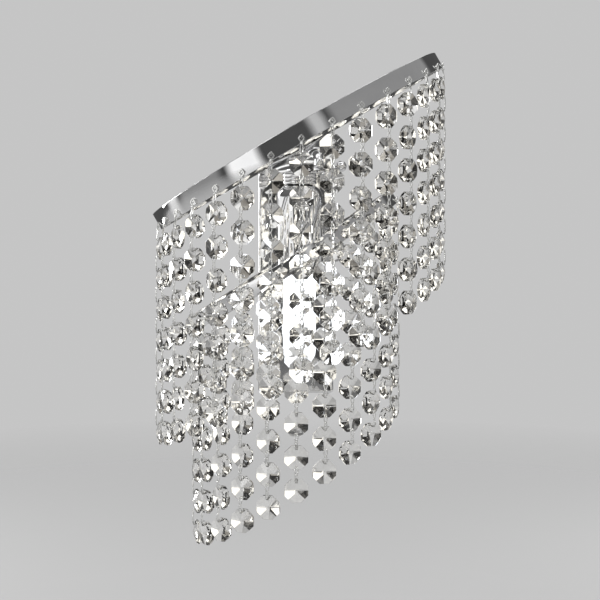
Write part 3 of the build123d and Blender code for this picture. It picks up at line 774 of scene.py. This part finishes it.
def mixed(tree, factor, first, second):
    # the first colour where the factor is 0, the second where it is 1
    mix = tree.nodes.new("ShaderNodeMix")
    mix.data_type = "RGBA"
    tree.links.new(factor, mix.inputs[0])
    for socket, colour in ((mix.inputs[6], first), (mix.inputs[7], second)):
        if isinstance(colour, float):
            socket.default_value = (*grey(colour), 1.0)
        else:
            tree.links.new(colour, socket)
    return mix.outputs[2]


def panelStops():
    # each panel rises out of the dark room and falls back to it
    dark, edge = studio["darkness"], studio["panelEdge"]
    stops = [(0.0, grey(dark))]
    for first, last, level in studio["panels"].values():
        for angle, shade in ((first - edge, dark), (first, level), (last, level), (last + edge, dark)):
            stops.append((angle / 360, grey(shade)))
    return stops + [(1.0, grey(dark))]


def fillAir():
    # metal sees the room, glass sees the panes, the camera sees plain air; the rest is even light
    world = bpy.data.worlds.new("studioAir")
    world.use_nodes = True
    bpy.context.scene.world = world
    tree = world.node_tree
    rays = tree.nodes.new("ShaderNodeLightPath")
    place = tree.nodes.new("ShaderNodeTexCoord")
    split = tree.nodes.new("ShaderNodeSeparateXYZ")
    lean = tree.nodes.new("ShaderNodeMapping")
    lean.inputs["Rotation"].default_value = (0.0, radians(studio["tilt"]), 0.0)
    turn = tree.nodes.new("ShaderNodeMath")
    turn.operation = "ARCTAN2"
    tree.links.new(place.outputs["Generated"], lean.inputs["Vector"])
    tree.links.new(lean.outputs["Vector"], split.inputs["Vector"])
    tree.links.new(split.outputs["X"], turn.inputs[0])
    tree.links.new(split.outputs["Y"], turn.inputs[1])
    share = between(tree, turn.outputs["Value"], 0.0, 1.0, -pi, pi)
    room = colourRamp(tree, share, panelStops())
    panes = tree.nodes.new("ShaderNodeTexVoronoi")
    panes.inputs["Scale"].default_value = studio["panes"]
    chance = tree.nodes.new("ShaderNodeSeparateColor")
    tree.links.new(place.outputs["Generated"], panes.inputs["Vector"])
    tree.links.new(panes.outputs["Color"], chance.inputs["Color"])
    glints = colourRamp(tree, chance.outputs["Red"], studio["glints"])
    steepness = tree.nodes.new("ShaderNodeMath")
    steepness.operation = "ABSOLUTE"
    tree.links.new(split.outputs["Z"], steepness.inputs[0])
    climb = between(tree, split.outputs["Z"], 0.0, 1.0, -1.0, 1.0)
    ends = colourRamp(tree, climb, [(position, grey(level)) for position, level in studio["heights"]])
    room = mixed(tree, between(tree, steepness.outputs["Value"], 0.0, 1.0, *studio["steep"]), room, ends)
    behind = between(tree, split.outputs["Y"], 0.0, 1.0, *studio["window"])
    room = mixed(tree, behind, room, studio["pale"])
    glints = mixed(tree, behind, glints, studio["pale"])
    air = mixed(tree, rays.outputs["Is Glossy Ray"], studio["fill"], room)
    air = mixed(tree, rays.outputs["Is Transmission Ray"], air, glints)
    air = mixed(tree, rays.outputs["Is Camera Ray"], air, studio["pale"])
    tree.links.new(air, tree.nodes["Background"].inputs["Color"])


lampAim = (0, -0.05, 0)
lamps = {  # place, size, power, and whether metal and glass show it
    "keyLamp": ((-0.95, -1.1, 0.75), (0.5, 0.9), 4.0, True),
    "fillLamp": ((1.2, -0.9, 0.5), (0.6, 0.9), 1.5, False),
    "topLamp": ((0.1, -0.2, 1.2), (0.9, 0.5), 2.5, True),
    "backLeftLamp": ((-0.8, 0.5, 0.2), (0.12, 0.9), 3.5, True),
    "backRightLamp": ((0.8, 0.5, 0.2), (0.12, 0.9), 3.5, False),
}


def addLamps():
    for name, (place, size, power, shown) in lamps.items():
        light = bpy.data.lights.new(name, "AREA")
        light.shape = "RECTANGLE"
        light.size, light.size_y = size
        light.energy = power
        lamp = bpy.data.objects.new(name, light)
        lamp.location = place
        lamp.rotation_euler = (Vector(lampAim) - Vector(place)).to_track_quat("-Z", "Y").to_euler()
        lamp.visible_camera = False
        lamp.visible_glossy = shown
        lamp.visible_transmission = shown
        bpy.context.scene.collection.objects.link(lamp)


layFloor()
fillAir()
addLamps()
bpy.context.scene.view_settings.view_transform = "Standard"
print("studio lit")
